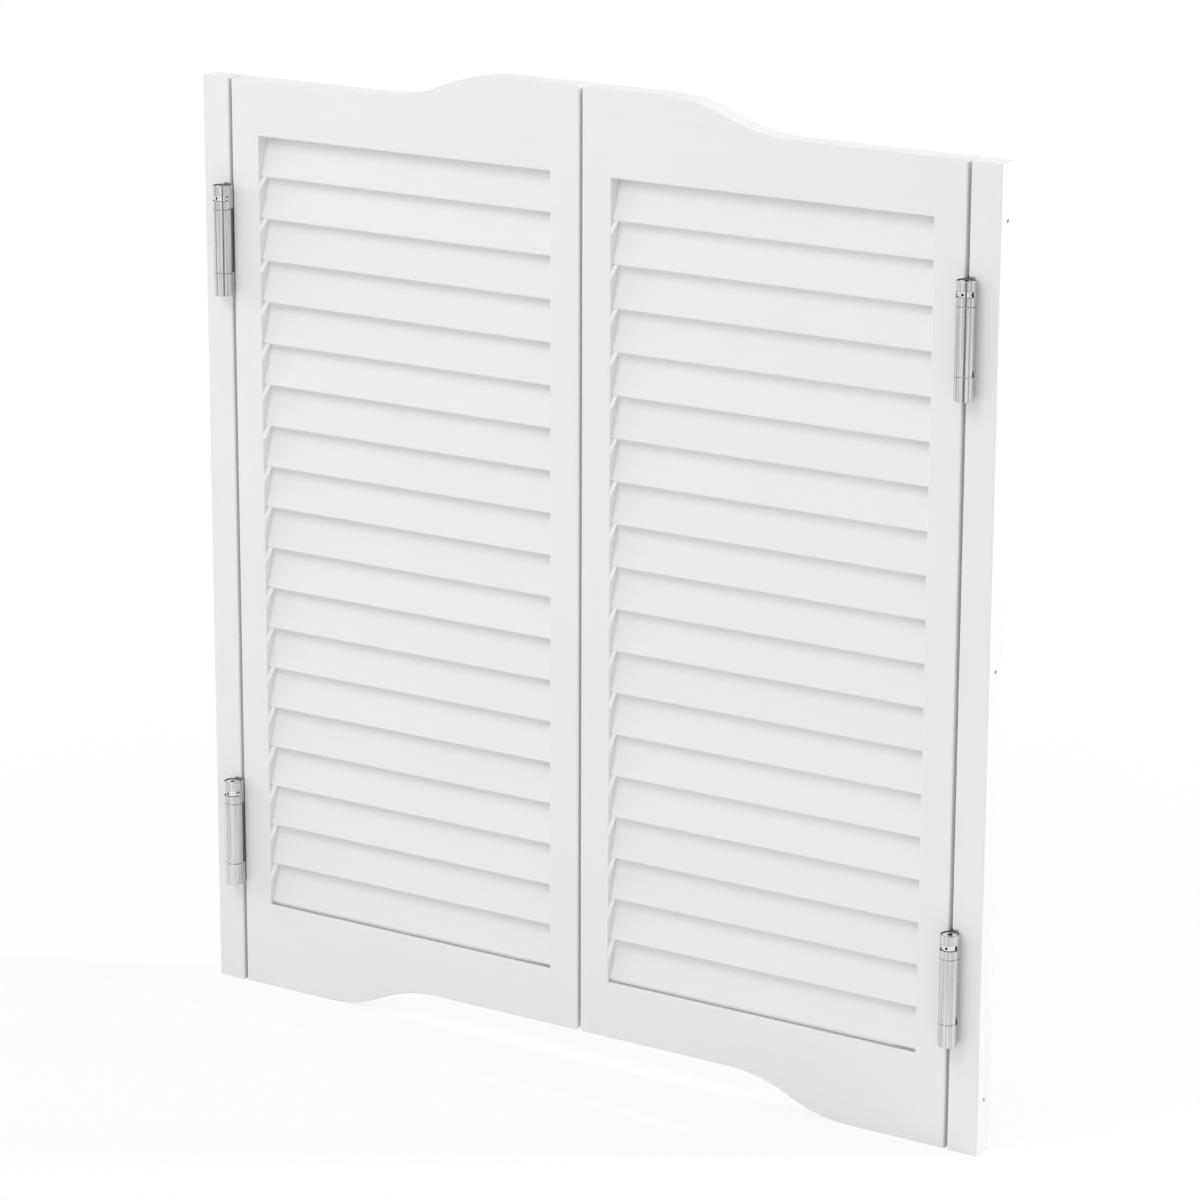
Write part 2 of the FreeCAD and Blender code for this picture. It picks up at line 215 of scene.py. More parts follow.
class SurfaceBench(Bench):
    """A material's node tree, with the patterns that the finishes share."""

    def __init__(self, name: str) -> None:
        """Start a material with an empty tree."""
        self.material = bpy.data.materials.new(name)
        self.material.use_nodes = True
        super().__init__(self.material.node_tree)
        self.tree.nodes.clear()
        self.place = self.add("ShaderNodeTexCoord").outputs["Object"]

    def stretched(self, scale: Triple) -> NodeSocket:
        """The place on the surface, scaled along each axis."""
        sockets = {"Vector": self.place, "Scale": scale}
        return self.add("ShaderNodeMapping", None, sockets).outputs["Vector"]

    def noise(self, scale: Triple, detail: float, roughness: float) -> Value:
        """Soft noise about one half.

        Args:
            scale: lumps to the metre along each axis.
            detail: octaves of finer noise on top.
            roughness: how strong the finer octaves are.

        Returns:
            A number from 0 to 1.
        """
        sockets = {"Scale": 1.0, "Detail": detail, "Roughness": roughness}
        sockets["Vector"] = self.stretched(scale)
        return self.value("ShaderNodeTexNoise", "Fac", {"noise_dimensions": "3D"}, sockets)

    def mixed(self, factor: Number, first: Any, second: Any) -> NodeSocket:
        """A colour between two colours or sockets: the first at 0, and the second at 1."""
        sockets = {MIX_FACTOR: factor, MIX_FIRST: first, MIX_SECOND: second}
        return self.add("ShaderNodeMix", {"data_type": "RGBA"}, sockets).outputs[MIX_RESULT]

    def bumped(self, height: Value) -> NodeSocket:
        """The surface's normal under a height in metres."""
        sockets = {"Strength": 1.0, "Distance": 1.0, "Height": height}
        return self.add("ShaderNodeBump", None, sockets).outputs["Normal"]

    def close(self, sockets: dict[str, Any]) -> Material:
        """Add the shader and end the material.

        Args:
            sockets: the shader's sockets, as for add.

        Returns:
            The finished material.
        """
        shader = self.add("ShaderNodeBsdfPrincipled", None, sockets)
        self.add("ShaderNodeOutputMaterial", None, {"Surface": shader.outputs["BSDF"]})
        return self.material


@dataclass(frozen=True)
class Layer:
    """One layer of noise: lumps to the metre, octaves, a soft step and its share of the shade."""

    lumps: float
    detail: float = 2.0
    roughness: float = 0.5
    low: float = 0.0
    high: float = 1.0
    share: float = 0.0

    def noise(self, bench: SurfaceBench, stretch: Triple = (1.0, 1.0, 1.0)) -> Value:
        """Make the layer's noise.

        Args:
            bench: the material's tree.
            stretch: how closely the lumps are packed along each axis.

        Returns:
            A number from 0 to 1.
        """
        along_x, along_y, along_z = stretch
        scale = (self.lumps * along_x, self.lumps * along_y, self.lumps * along_z)
        return bench.noise(scale, self.detail, self.roughness)

    def step(self, noise: Value) -> Value:
        """The layer's noise after its soft step."""
        return noise.ramp(self.low, self.high)

    def shade(self, noise: Value) -> Value:
        """The layer's share of the shade."""
        return self.step(noise) * self.share


class Grain(Enum):
    """The way that a board's grain runs, as how closely noise is packed along each axis."""

    UPRIGHT = (1.0, 1.0, 0.03)
    LEVEL = (0.03, 1.0, 1.0)


@dataclass(frozen=True)
class ShadedGap:
    """The gap under the lowest slat, which gets painted shade, with each edge's start and end."""

    front: Pair = (-11.6 * MM, -11.1 * MM)
    back: Pair = (-6.1 * MM, -5.6 * MM)
    ledge: Pair = (100.4 * MM, 100.65 * MM)
    ceiling: Pair = (102.2 * MM, 102.7 * MM)

    def dust(self, bench: SurfaceBench) -> Value:
        """Where the gap's shade is painted.

        Args:
            bench: the material's tree.

        Returns:
            1 in the gap, and 0 elsewhere.
        """
        _, y, z = bench.split(bench.place)
        level = z.ramp(*self.ledge) * (1.0 - z.ramp(*self.ceiling))
        return level * y.ramp(*self.front) * (1.0 - y.ramp(*self.back))


@dataclass(frozen=True)
class SatinPaint:
    """White satin paint, sprayed on planed softwood whose grain just shows."""

    name: str
    grain: Grain
    colour: Triple = (0.83, 0.83, 0.825)
    shaded: float = 0.975
    board_share: float = 0.6
    slat_share: float = 0.0
    roughness: float = 0.44
    cloud_roughness: float = 0.06
    stipple_roughness: float = 0.08
    refraction: float = 1.48
    clouds: Layer = Layer(5.0, 3.0, low=0.35, high=0.7, share=0.6)
    figure: Layer = Layer(90.0, low=0.4, high=0.75, share=0.25)
    fibres: Layer = Layer(420.0, 3.0, 0.6, low=0.45, high=0.8, share=0.15)
    stipple: Layer = Layer(900.0, 1.0)
    fibre_depth: float = 0.035 * MM
    stipple_depth: float = 0.012 * MM
    gap: ShadedGap | None = None
    # The colour of the shade painted in the gap under the lowest slat.
    dust: Triple = (0.5, 0.495, 0.485)

    def build(self) -> Material:
        """Make the paint.

        Returns:
            The material.
        """
        bench = SurfaceBench(self.name)
        clouds = self.clouds.noise(bench)
        fibres = self.fibres.noise(bench, self.grain.value)
        figure = self.figure.noise(bench, self.grain.value)
        stipple = self.stipple.noise(bench)
        shade = self.clouds.shade(clouds) + self.figure.shade(figure) + self.fibres.shade(fibres)
        if self.slat_share:
            tone = bench.value("ShaderNodeAttribute", "Fac", {"attribute_name": SLAT_TONE})
            shade = shade * self.board_share + tone * self.slat_share
        colour = bench.mixed(shade, rgba(self.colour), rgba(self.colour, self.shaded))
        # Painted shade: the gap under the lowest slat is darkened in the paint's colour.
        if self.gap:
            colour = bench.mixed(self.gap.dust(bench), colour, rgba(self.dust))
        speckle = stipple.centred() * self.stipple_roughness
        height = fibres.centred() * self.fibre_depth + stipple.centred() * self.stipple_depth
        return bench.close(
            {
                "Base Color": colour,
                "Roughness": self.roughness + speckle + clouds.centred() * self.cloud_roughness,
                "Normal": bench.bumped(height),
                "IOR": self.refraction,
            }
        )


@dataclass(frozen=True)
class Barrels:
    """The hinges' barrels: where they stand, their painted recess shade and painted cap highlight.

    A pair is where a soft edge starts and ends: as a height for cap_foot, a depth below the outer
    face for shaded_depth, and else a distance from the barrel's axis or the cap's rim.
    """

    seam: float = SEAM
    offset: float = 5.5 * MM
    distance: float = 24.55 * MM
    feet: Pair = (122.5 * MM, 822 * MM)
    radius: float = 10.4 * MM
    collar_radius: float = 8.72 * MM
    cap_foot: Pair = (121 * MM, 122 * MM)
    cap_hole: Pair = (2.9 * MM, 3.15 * MM)
    cap_face: Pair = (8.3 * MM, 8.6 * MM)
    cap_rim: float = 9.3 * MM
    rim_width: Pair = (0.45 * MM, 0.95 * MM)
    # How dark the painted shade along the cap's rim is, and where the painted shade below the
    # outer face fades in.
    rim_shade: float = 0.85
    shaded_depth: Pair = (0.45 * MM, 0.12 * MM)

    @property
    def between(self) -> float:
        """How far the upper hinge stands above the lower one."""
        return self.feet[1] - self.feet[0]

    def reach(self, bench: SurfaceBench) -> Value:
        """How far a place lies from the axis of the nearest barrel.

        Args:
            bench: the material's tree.

        Returns:
            The distance in metres.
        """
        x, y, _ = bench.split(bench.place)
        across = x.size() - self.seam - self.offset * (1.0 - 2.0 * (y > 0.0))
        away = y.size() - self.distance
        return (across * across + away * away).root()

    def wear(self, bench: SurfaceBench, surface: float) -> tuple[Value, Value]:
        """Where shade is painted into the steel's recesses, and where a highlight is painted on
        it.

        Args:
            bench: the material's tree.
            surface: the radius of the outer face, below which shade is painted.

        Returns:
            The painted recess shade, which is 1 below that face, in the cap's hole and along its
            rim; and the painted cap highlight, which is 1 on the cap's face.
        """
        reach = self.reach(bench)
        _, _, z = bench.split(bench.place)
        low, high = self.feet
        level = z - low - self.between * (z > (low + high) / 2)
        # Painted shade below the outer face, in the cap's hole and along its rim; painted
        # highlight on the cap's face.
        deep, shallow = self.shaded_depth
        under = 1.0 - reach.ramp(surface - deep, surface - shallow)
        in_cap = level.ramp(*self.cap_foot)
        hole = 1.0 - reach.ramp(*self.cap_hole)
        rim = 1.0 - (reach - self.cap_rim).size().ramp(*self.rim_width)
        oil = (under * (1.0 - in_cap)).at_least(hole).at_least(rim * in_cap * self.rim_shade)
        return oil, in_cap * (1.0 - reach.ramp(*self.cap_face))


@dataclass(frozen=True)
class DrawnSteel:
    """Finely brushed sheet or bar steel, with painted barrel shade and highlight if surface is
    set.
    """

    name: str
    colour: Triple
    dull: float = 0.74
    roughness: float = 0.21
    brushing: Triple = (2400.0, 2400.0, 25.0)
    brush: Layer = Layer(1.0, 3.0, 0.6, low=0.4, high=0.7, share=0.2)
    brush_depth: float = 0.003 * MM
    brush_roughness: float = 0.1
    streaks: Layer = Layer(0.25, low=0.42, high=0.62, share=0.7)
    smudge: float = 0.35
    smudges: Layer = Layer(160.0, 3.0, 0.6, low=0.45, high=0.7, share=0.3)
    smudge_stretch: Triple = (1.0, 1.0, 0.5625)
    smudge_roughness: float = 0.06
    pits: Layer = Layer(2600.0, 1.0, low=0.68, high=0.8, share=0.2)
    pit_depth: float = 0.002 * MM
    surface: float = 0.0
    barrels: Barrels = Barrels()
    # The colours and roughness of the painted recess shade and the painted cap highlight.
    oil: Triple = (0.02, 0.019, 0.018)
    oil_roughness: float = 0.25
    bright: Triple = (0.97, 0.97, 0.965)
    cap_highlight_share: float = 0.9
    bright_roughness: float = -0.08

    def build(self) -> Material:
        """Make the steel.

        Returns:
            The material.
        """
        bench = SurfaceBench(self.name)
        brushing = self.brush.noise(bench, self.brushing)
        streaks = self.streaks.noise(bench, self.brushing)
        smudges = self.smudges.noise(bench, self.smudge_stretch)
        pits = self.pits.noise(bench)
        shade = self.streaks.shade(streaks) + self.smudges.shade(smudges) * self.smudge
        shade = shade + self.brush.shade(brushing) + self.pits.shade(pits)
        colour = bench.mixed(shade.at_most(1.0), rgba(self.colour), rgba(self.colour, self.dull))
        roughness = self.roughness + brushing.centred() * self.brush_roughness
        roughness = roughness + self.smudges.step(smudges) * self.smudge * self.smudge_roughness
        # Painted light: shade in the barrels' recesses and a highlight on their caps are painted
        # into the colour.
        if self.surface:
            oil, cap_highlight = self.barrels.wear(bench, self.surface)
            colour = bench.mixed(cap_highlight * self.cap_highlight_share, colour, rgba(self.bright))
            colour = bench.mixed(oil, colour, rgba(self.oil))
            roughness = roughness + oil * self.oil_roughness + cap_highlight * self.bright_roughness
        height = brushing.centred() * self.brush_depth - self.pits.step(pits) * self.pit_depth
        return bench.close(
            {
                "Base Color": colour,
                "Metallic": 1.0,
                "Roughness": roughness,
                "Normal": bench.bumped(height),
            }
        )


@dataclass(frozen=True)
class Finishes:
    """Every finish on the doors, made once."""

    upright_paint: Material
    level_paint: Material
    slat_paint: Material
    nickel: Material
    collar: Material
    turned: Material
    wire: Material
    zinc: Material

    @classmethod
    def mix(cls) -> "Finishes":
        """Make all the materials.

        Returns:
            The finishes.
        """
        paint = SatinPaint("satin_paint_upright", Grain.UPRIGHT)
        level = replace(paint, name="satin_paint_level", grain=Grain.LEVEL, gap=ShadedGap())
        slats = replace(level, name="satin_paint_slats", slat_share=0.5)
        nickel = DrawnSteel("satin_nickel", (0.74, 0.74, 0.735), dull=0.66, surface=Barrels.radius)
        turned = DrawnSteel(
            "turned_steel",
            (0.84, 0.84, 0.83),
            roughness=0.16,
            brushing=(500.0, 500.0, 6000.0),
            smudge=0.25,
        )
        collar = replace(
            turned, name="collar_steel", colour=(0.84, 0.84, 0.835), surface=Barrels.collar_radius
        )
        wire = DrawnSteel("oiled_wire", (0.3, 0.3, 0.31), roughness=0.34, dull=0.6)
        zinc = DrawnSteel(
            "zinc_plate", (0.66, 0.66, 0.655), roughness=0.3, brushing=(1800.0, 1800.0, 1800.0)
        )
        finishes = (paint, level, slats, nickel, collar, turned, wire, zinc)
        return cls(*(finish.build() for finish in finishes))


# --- geometry trees
class Recipe(Bench):
    """A Geometry Nodes tree with named inputs, which is turned into plain meshes."""

    KINDS = {float: "NodeSocketFloat", int: "NodeSocketInt", Material: "NodeSocketMaterial"}

    def __init__(self, name: str, sizes: list[str], counts: list[str]) -> None:
        """Start a tree.

        Args:
            name: the tree's name.
            sizes: the names of the inputs that are lengths, angles or other numbers.
            counts: the names of the inputs that are whole numbers.
        """
        super().__init__(bpy.data.node_groups.new(name, "GeometryNodeTree"))
        face = self.tree.interface
        face.new_socket("Geometry", in_out="INPUT", socket_type="NodeSocketGeometry")
        kinds = [(label, float) for label in sizes] + [(label, int) for label in counts]
        self.sockets = {
            label: face.new_socket(label, in_out="INPUT", socket_type=self.KINDS[kind])
            for label, kind in kinds + [("Finish", Material)]
        }
        face.new_socket("Geometry", in_out="OUTPUT", socket_type="NodeSocketGeometry")
        self.group = self.add("NodeGroupInput")

    def size(self, label: str) -> Value:
        """One named input as a number."""
        return Value(self, self.group.outputs[label])

    def vector(self, x: Number = 0.0, y: Number = 0.0, z: Number = 0.0) -> NodeSocket:
        """Three numbers as a vector."""
        return self.add("ShaderNodeCombineXYZ", None, {0: x, 1: y, 2: z}).outputs[0]

    def turn(self, x: Number = 0.0, y: Number = 0.0, z: Number = 0.0) -> NodeSocket:
        """A turn about each axis, X first."""
        return self.add("FunctionNodeEulerToRotation", None, {0: self.vector(x, y, z)}).outputs[0]

    def along(self) -> tuple[Value, Value, Value]:
        """The x, y and z of the place that a field is worked out at."""
        return self.split(self.add("GeometryNodeInputPosition").outputs[0])

    def chance(self, low: float, high: float, seed: Number) -> Value:
        """A random number for each point or instance.

        Args:
            low: the least that it can be.
            high: the most that it can be.
            seed: the number that picks the draw.

        Returns:
            The number.
        """
        sockets = {CHANCE_LOW: low, CHANCE_HIGH: high, "Seed": seed}
        kind = {"data_type": "FLOAT"}
        return self.value("FunctionNodeRandomValue", CHANCE_RESULT, kind, sockets)

    def line(self, start: NodeSocket, end: NodeSocket, steps: Number) -> NodeSocket:
        """A straight path between two places.

        Args:
            start: where it starts, as a vector.
            end: where it ends.
            steps: how many points lie along it.

        Returns:
            The path.
        """
        ends = {"Start": start, "End": end}
        whole = self.add("GeometryNodeCurvePrimitiveLine", None, ends).outputs[0]
        points = {"Curve": whole, "Count": steps}
        return self.add("GeometryNodeResampleCurve", None, points).outputs[0]

    def rounded_section(self, width: Number, height: Number, radius: Number) -> NodeSocket:
        """A rectangle with rounded corners, as a closed curve to sweep.

        Args:
            width: its size along Y once it is swept along X.
            height: its size along Z.
            radius: the radius of its corners.

        Returns:
            The curve.
        """
        sizes = {"Width": width, "Height": height}
        shape = self.add("GeometryNodeCurvePrimitiveQuadrilateral", None, sizes).outputs[0]
        fillet = {"Curve": shape, "Radius": radius, "Count": CORNER_STEPS, "Limit Radius": True}
        return self.add("GeometryNodeFilletCurve", {"mode": "POLY"}, fillet).outputs[0]

    def round_section(self, radius: Number, steps: int) -> NodeSocket:
        """A circle to sweep."""
        sockets = {"Resolution": steps, "Radius": radius}
        return self.add("GeometryNodeCurvePrimitiveCircle", None, sockets).outputs[0]

    def swept(self, path: NodeSocket, section: NodeSocket, scale: Number = 1.0) -> NodeSocket:
        """A section carried along a path, scaled at each point, and closed at both ends."""
        sweep = {"Curve": path, "Profile Curve": section, "Scale": scale, "Fill Caps": True}
        return self.add("GeometryNodeCurveToMesh", None, sweep).outputs[0]

    def block(self, x: Number, y: Number, z: Number) -> NodeSocket:
        """A block about the origin, by its three sizes."""
        return self.add("GeometryNodeMeshCube", None, {"Size": self.vector(x, y, z)}).outputs[0]

    def joined(self, *parts: NodeSocket) -> NodeSocket:
        """Several meshes as one."""
        node = self.add("GeometryNodeJoinGeometry")
        for part in parts:
            self.tree.links.new(part, node.inputs[0])
        return node.outputs[0]

    def row(self, count: Number, start: NodeSocket, step: NodeSocket) -> NodeSocket:
        """Points in a straight row, by the first one's place and the step to the next."""
        sockets = {"Count": count, "Start Location": start, "Offset": step}
        return self.add("GeometryNodeMeshLine", {"mode": "OFFSET"}, sockets).outputs[0]

    def set_out(self, shape: NodeSocket, points: NodeSocket, turn: Any) -> NodeSocket:
        """One copy of a shape on each point, with a turn of its own."""
        copies = {"Points": points, "Instance": shape, "Rotation": turn}
        return self.add("GeometryNodeInstanceOnPoints", None, copies).outputs[0]

    def close(self, geometry: NodeSocket) -> "Recipe":
        """End the tree with real meshes in the material named Finish.

        Args:
            geometry: what the tree has made.

        Returns:
            The tree.
        """
        real = self.add("GeometryNodeRealizeInstances", None, {"Geometry": geometry}).outputs[0]
        sockets = {"Geometry": real, "Material": self.group.outputs["Finish"]}
        dressed = self.add("GeometryNodeSetMaterial", None, sockets)
        self.add("NodeGroupOutput", None, {0: dressed.outputs[0]})
        return self

    def grow(self, name: str, finish: Material, values: dict[str, float]) -> Object:
        """Run the tree once and keep the result as a plain mesh.

        Args:
            name: the finished piece's name.
            finish: the piece's material.
            values: a value for each input, by its name. Other names are passed over.

        Returns:
            The piece, which stands at the origin and has no modifier left.
        """
        piece = placed(name, bpy.data.meshes.new(name))
        modifier = piece.modifiers.new("recipe", "NODES")
        modifier.node_group = self.tree
        modifier[self.sockets["Finish"].identifier] = finish
        for label in self.sockets.keys() & values.keys():
            modifier[self.sockets[label].identifier] = values[label]
        settle(piece)
        soften(piece)
        return piece


def placed(name: str, data: Any) -> Object:
    """Put a new object in the scene.

    Args:
        name: the object's name.
        data: its mesh, lamp or camera.

    Returns:
        The object.
    """
    thing = bpy.data.objects.new(name, data)
    bpy.context.scene.collection.objects.link(thing)
    return thing


def settle(piece: Object) -> None:
    """Turn a piece and its modifiers into one plain mesh.

    Args:
        piece: the piece.
    """
    bpy.context.view_layer.update()
    evaluated = piece.evaluated_get(bpy.context.evaluated_depsgraph_get())
    mesh = bpy.data.meshes.new_from_object(evaluated)
    piece.modifiers.clear()
    piece.data = mesh
    mesh.name = piece.name


def soften(piece: Object, sharp_angle: float = math.radians(50.0), weight: int = 60) -> None:
    """Smooth a piece's shading, with flat faces kept flat and sharp edges kept sharp.

    Args:
        piece: the piece, which is a plain mesh before and after.
        sharp_angle: an edge that turns by more than this stays sharp.
        weight: how far large faces lead in the shading.
    """
    piece.data.shade_smooth()
    piece.data.set_sharp_from_angle(angle=sharp_angle)
    modifier = piece.modifiers.new("normals", "WEIGHTED_NORMAL")
    modifier.keep_sharp = True
    modifier.weight = weight
    settle(piece)


@cache
def rail_recipe() -> Recipe:
    """Plan a rail that is swept between the stiles, with one edge lifted along an S curve.

    Returns:
        The tree. Its lift is the sum of two arcs of one radius, one for each half of the S.
    """
    ends = ["Start", "End", "Low", "High", "Thickness", "Straight Radius", "Curved Radius"]
    curve = ["Curve Above", "Seam", "Curve Start", "Curve Run", "Rise"]
    tree = Recipe("s_curved_rail", ends + curve, ["Steps"])
    low, high = tree.size("Low"), tree.size("High")
    middle = (low + high) / 2.0
    x, y, z = tree.along()
    in_section = 1.0 - ((y > 0.0) - tree.size("Curve Above")).size()
    straight = tree.size("Straight Radius")
    radius = straight + in_section * (tree.size("Curved Radius") - straight)
    section = tree.rounded_section(tree.size("Thickness"), high - low, radius)
    start = tree.vector(tree.size("Start"), 0.0, middle)
    end = tree.vector(tree.size("End"), 0.0, middle)
    blank = tree.swept(tree.line(start, end, tree.size("Steps")), section)
    run, rise = tree.size("Curve Run"), tree.size("Rise")
    from_start = tree.size("Seam") - x.size() - tree.size("Curve Start")
    place = from_start.at_least(0.0).at_most(run)
    bend = (run * run + rise * rise) / (4.0 * rise)
    first = place.at_most(run / 2.0)
    second = run - place.at_least(run / 2.0)
    lift = rise / 2.0 - (bend * bend - first * first).root()
    lift = lift + (bend * bend - second * second).root()
    curved = 1.0 - ((z > middle) - tree.size("Curve Above")).size()
    sockets = {"Geometry": blank, "Offset": tree.vector(z=lift * curved)}
    return tree.close(tree.add("GeometryNodeSetPosition", None, sockets).outputs[0])


@cache
def slat_recipe() -> Recipe:
    """Plan a leaf's slats, each a hair off true and with a tone of its own.

    Returns:
        The tree.
    """
    slat = ["Start", "End", "Width", "Thickness", "Edge Radius", "Tilt", "Tilt Spread"]
    tree = Recipe("slat_bank", slat + ["Lowest", "Pitch"], ["Count", "Seed"])
    width, thickness = tree.size("Width"), tree.size("Thickness")
    section = tree.rounded_section(thickness, width, tree.size("Edge Radius"))
    path = tree.line(tree.vector(tree.size("Start")), tree.vector(tree.size("End")), 2)
    lowest, pitch = tree.vector(z=tree.size("Lowest")), tree.vector(z=tree.size("Pitch"))
    points = tree.row(tree.size("Count"), lowest, pitch)
    seed = tree.size("Seed")
    sway = tree.chance(-1.0, 1.0, seed) * tree.size("Tilt Spread")
    turn = tree.turn(x=sway - tree.size("Tilt"))
    slats = tree.set_out(tree.swept(path, section), points, turn)
    toned = tree.add(
        "GeometryNodeStoreNamedAttribute",
        {"data_type": "FLOAT", "domain": "INSTANCE"},
        {"Geometry": slats, "Name": SLAT_TONE, "Value": tree.chance(0.0, 1.0, seed + 1.0)},
    )
    return tree.close(toned.outputs[0])


@cache
def spring_recipe() -> Recipe:
    """Plan a torsion spring with its lower end turned out, set in two barrels.

    Returns:
        The tree.
    """
    steps_per_turn, wire_sides = 16, 8
    place = ["Axis X", "Axis Y", "Lowest", "Between"]
    shape = ["Outer Radius", "Wire", "Length", "Turns", "Tang Reach", "Tang Turn"]
    tree = Recipe("torsion_springs", place + shape, [])
    wire = tree.size("Wire")
    coil_radius = tree.size("Outer Radius") - wire / 2.0
    coil = tree.add(
        "GeometryNodeCurveSpiral",
        None,
        {
            "Resolution": steps_per_turn,
            "Rotations": tree.size("Turns"),
            "Start Radius": coil_radius,
            "End Radius": coil_radius,
            "Height": tree.size("Length") - wire,
        },
    )
    section = tree.round_section(wire / 2.0, wire_sides)
    tang = tree.line(tree.vector(coil_radius), tree.vector(tree.size("Tang Reach")), 2)
    spring = tree.joined(tree.swept(coil.outputs[0], section), tree.swept(tang, section))
    lowest = tree.size("Lowest") + wire / 2.0
    foot = tree.vector(tree.size("Axis X"), tree.size("Axis Y"), lowest)
    seats = tree.row(2, foot, tree.vector(z=tree.size("Between")))
    return tree.close(tree.set_out(spring, seats, tree.turn(z=tree.size("Tang Turn"))))


@cache
def screw_recipe() -> Recipe:
    """Plan a countersunk screw with a cross recess, set out as the screws of two hinges.

    Returns:
        The tree.
    """
    steps, sides = 49, 24
    thread_root, point_slope, point_radius = 0.84, 0.6, 0.1 * MM
    hinges, rows = 2, 3
    shape = ["Head Radius", "Shank Radius", "Length", "Thread"]
    recess = ["Recess Reach", "Recess Width", "Recess Depth"]
    place = ["Mouth X", "Middle Y", "Stagger", "Lowest", "Step", "Between", "Turn"]
    tree = Recipe("flange_screws", shape + recess + place, ["Seed"])
    length = tree.size("Length")
    deep, _, _ = tree.along()
    half_thread = tree.size("Thread") / 2.0
    ridge = deep.math("PINGPONG", deep, half_thread) / half_thread
    thread = tree.size("Shank Radius") * (thread_root + (1.0 - thread_root) * ridge)
    point = (length - deep) * point_slope + point_radius
    radius = (tree.size("Head Radius") - deep).at_least(thread.at_most(point))
    path = tree.line(tree.vector(), tree.vector(length), steps)
    turned = tree.swept(path, tree.round_section(1.0, sides), radius)
    depth = tree.size("Recess Depth") * 2.0
    reach, width = tree.size("Recess Reach") * 2.0, tree.size("Recess Width")
    screw = tree.add("GeometryNodeMeshBoolean", {"operation": "DIFFERENCE"}, {"Mesh 1": turned})
    for arm in (tree.block(depth, reach, width), tree.block(depth, width, reach)):
        tree.tree.links.new(arm, screw.inputs["Mesh 2"])
    index = tree.value("GeometryNodeInputIndex", 0)
    hinge = index.math("FLOOR", index / rows)
    row = index - hinge * rows
    is_middle = 1.0 - (row - 1.0).size()
    across = tree.size("Middle Y") + tree.size("Stagger") * (is_middle * 2.0 - 1.0)
    height = tree.size("Lowest") + tree.size("Step") * row + tree.size("Between") * hinge
    place = tree.vector(tree.size("Mouth X"), across, height)
    seats = tree.add("GeometryNodePoints", None, {"Count": hinges * rows, "Position": place})
    spin = tree.chance(0.0, math.pi, tree.size("Seed"))
    turn = tree.turn(x=spin, z=tree.size("Turn"))
    return tree.close(tree.set_out(screw.outputs[0], seats.outputs[0], turn))


# --- shared sizes
class Side(Enum):
    """The left or the right half of the doorway, with the sign of its X."""

    LEFT = -1.0
    RIGHT = 1.0

    @property
    def sign(self) -> float:
        """-1 on the left and 1 on the right."""
        return self.value

    def named(self, part: str) -> str:
        """A part's name on this side."""
        return f"{self.name.lower()}_{part}"


@dataclass(frozen=True)
class Doorway:
    """The sizes that the strips, the leaves and the hinges share."""

    thickness: float = 27.5 * MM
    seam: float = SEAM
    hinge_gap: float = 4 * MM
    leaf_width: float = 465.3 * MM
    stile_width: float = 37 * MM
    arris: float = 2 * MM

    @property
    def leaf_end(self) -> float:
        """How far the leaf's meeting edge lies from the hinge seam."""
        return self.hinge_gap / 2 + self.leaf_width

    @property
    def opening(self) -> Pair:
        """How far each stile's inner edge lies from the hinge seam."""
        return self.hinge_gap / 2 + self.stile_width, self.leaf_end - self.stile_width

    def across(self, side: Side, from_seam: float) -> float:
        """The X of a place in a leaf, by its distance from that side's hinge seam."""
        return side.sign * (self.seam - from_seam)

    def span(self, side: Side, reach: float = 0.0) -> Pair:
        """The two ends of the opening, or of a piece that reaches into the stiles.

        Args:
            side: the leaf's side.
            reach: how far it reaches into each stile.

        Returns:
            The lower and the higher X.
        """
        start, end = self.opening
        ends = (self.across(side, start - reach), self.across(side, end + reach))
        return min(ends), max(ends)


@dataclass
class SidePart:
    """A sub-assembly on one side of the doorway."""

    doorway: Doorway
    side: Side
    finishes: Finishes

    def coat(self, part: str, finish: Material) -> None:
        """Give one of this side's CAD nodes its finish."""
        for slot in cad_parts[self.side.named(part)].material_slots:
            slot.material = finish


def labelled(cut: Any) -> dict[str, Any]:
    """A cut's fields, under the names that a recipe gives its inputs."""
    return {name.replace("_", " ").title(): size for name, size in vars(cut).items()}


def seat(piece: Object, body: str, node: str) -> None:
    """Let a piece ride on a body and stand for a CAD node.

    Args:
        piece: the finished piece.
        body: the body that it moves with.
        node: the CAD node that it stands for.
    """
    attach(piece, body)
    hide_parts(node)
    log.info("%s has %d faces", piece.name, len(piece.data.polygons))


# --- wood
@dataclass(frozen=True)
class RailCut:
    """How one rail is cut: a straight long edge at the slats, and a curved one."""

    name: str
    low: float
    high: float
    curve_above: bool
    straight_radius: float
    rise: float
    flat_run: float
    curve_run: float


@dataclass(frozen=True)
class SlatCut:
    """The slats' sizes, and how far they reach into the stiles."""

    count: int = 19
    width: float = 51 * MM
    thickness: float = 6 * MM
    edge_radius: float = 2 * MM
    tilt: float = math.radians(17.5)
    tilt_spread: float = math.radians(0.1)
    reach: float = 6.9 * MM

    @property
    def half_rise(self) -> float:
        """Half the height of a tilted slat, over its rounded edges."""
        half = (self.width * math.cos(self.tilt) + self.thickness * math.sin(self.tilt)) / 2
        return half - self.edge_radius * (math.cos(self.tilt) + math.sin(self.tilt) - 1)


@dataclass
class MountingStrip(SidePart):
    """The strip that is fixed to one side of the doorway."""

    def dress(self) -> None:
        """Paint the strip."""
        self.coat("mounting_strip", self.finishes.upright_paint)


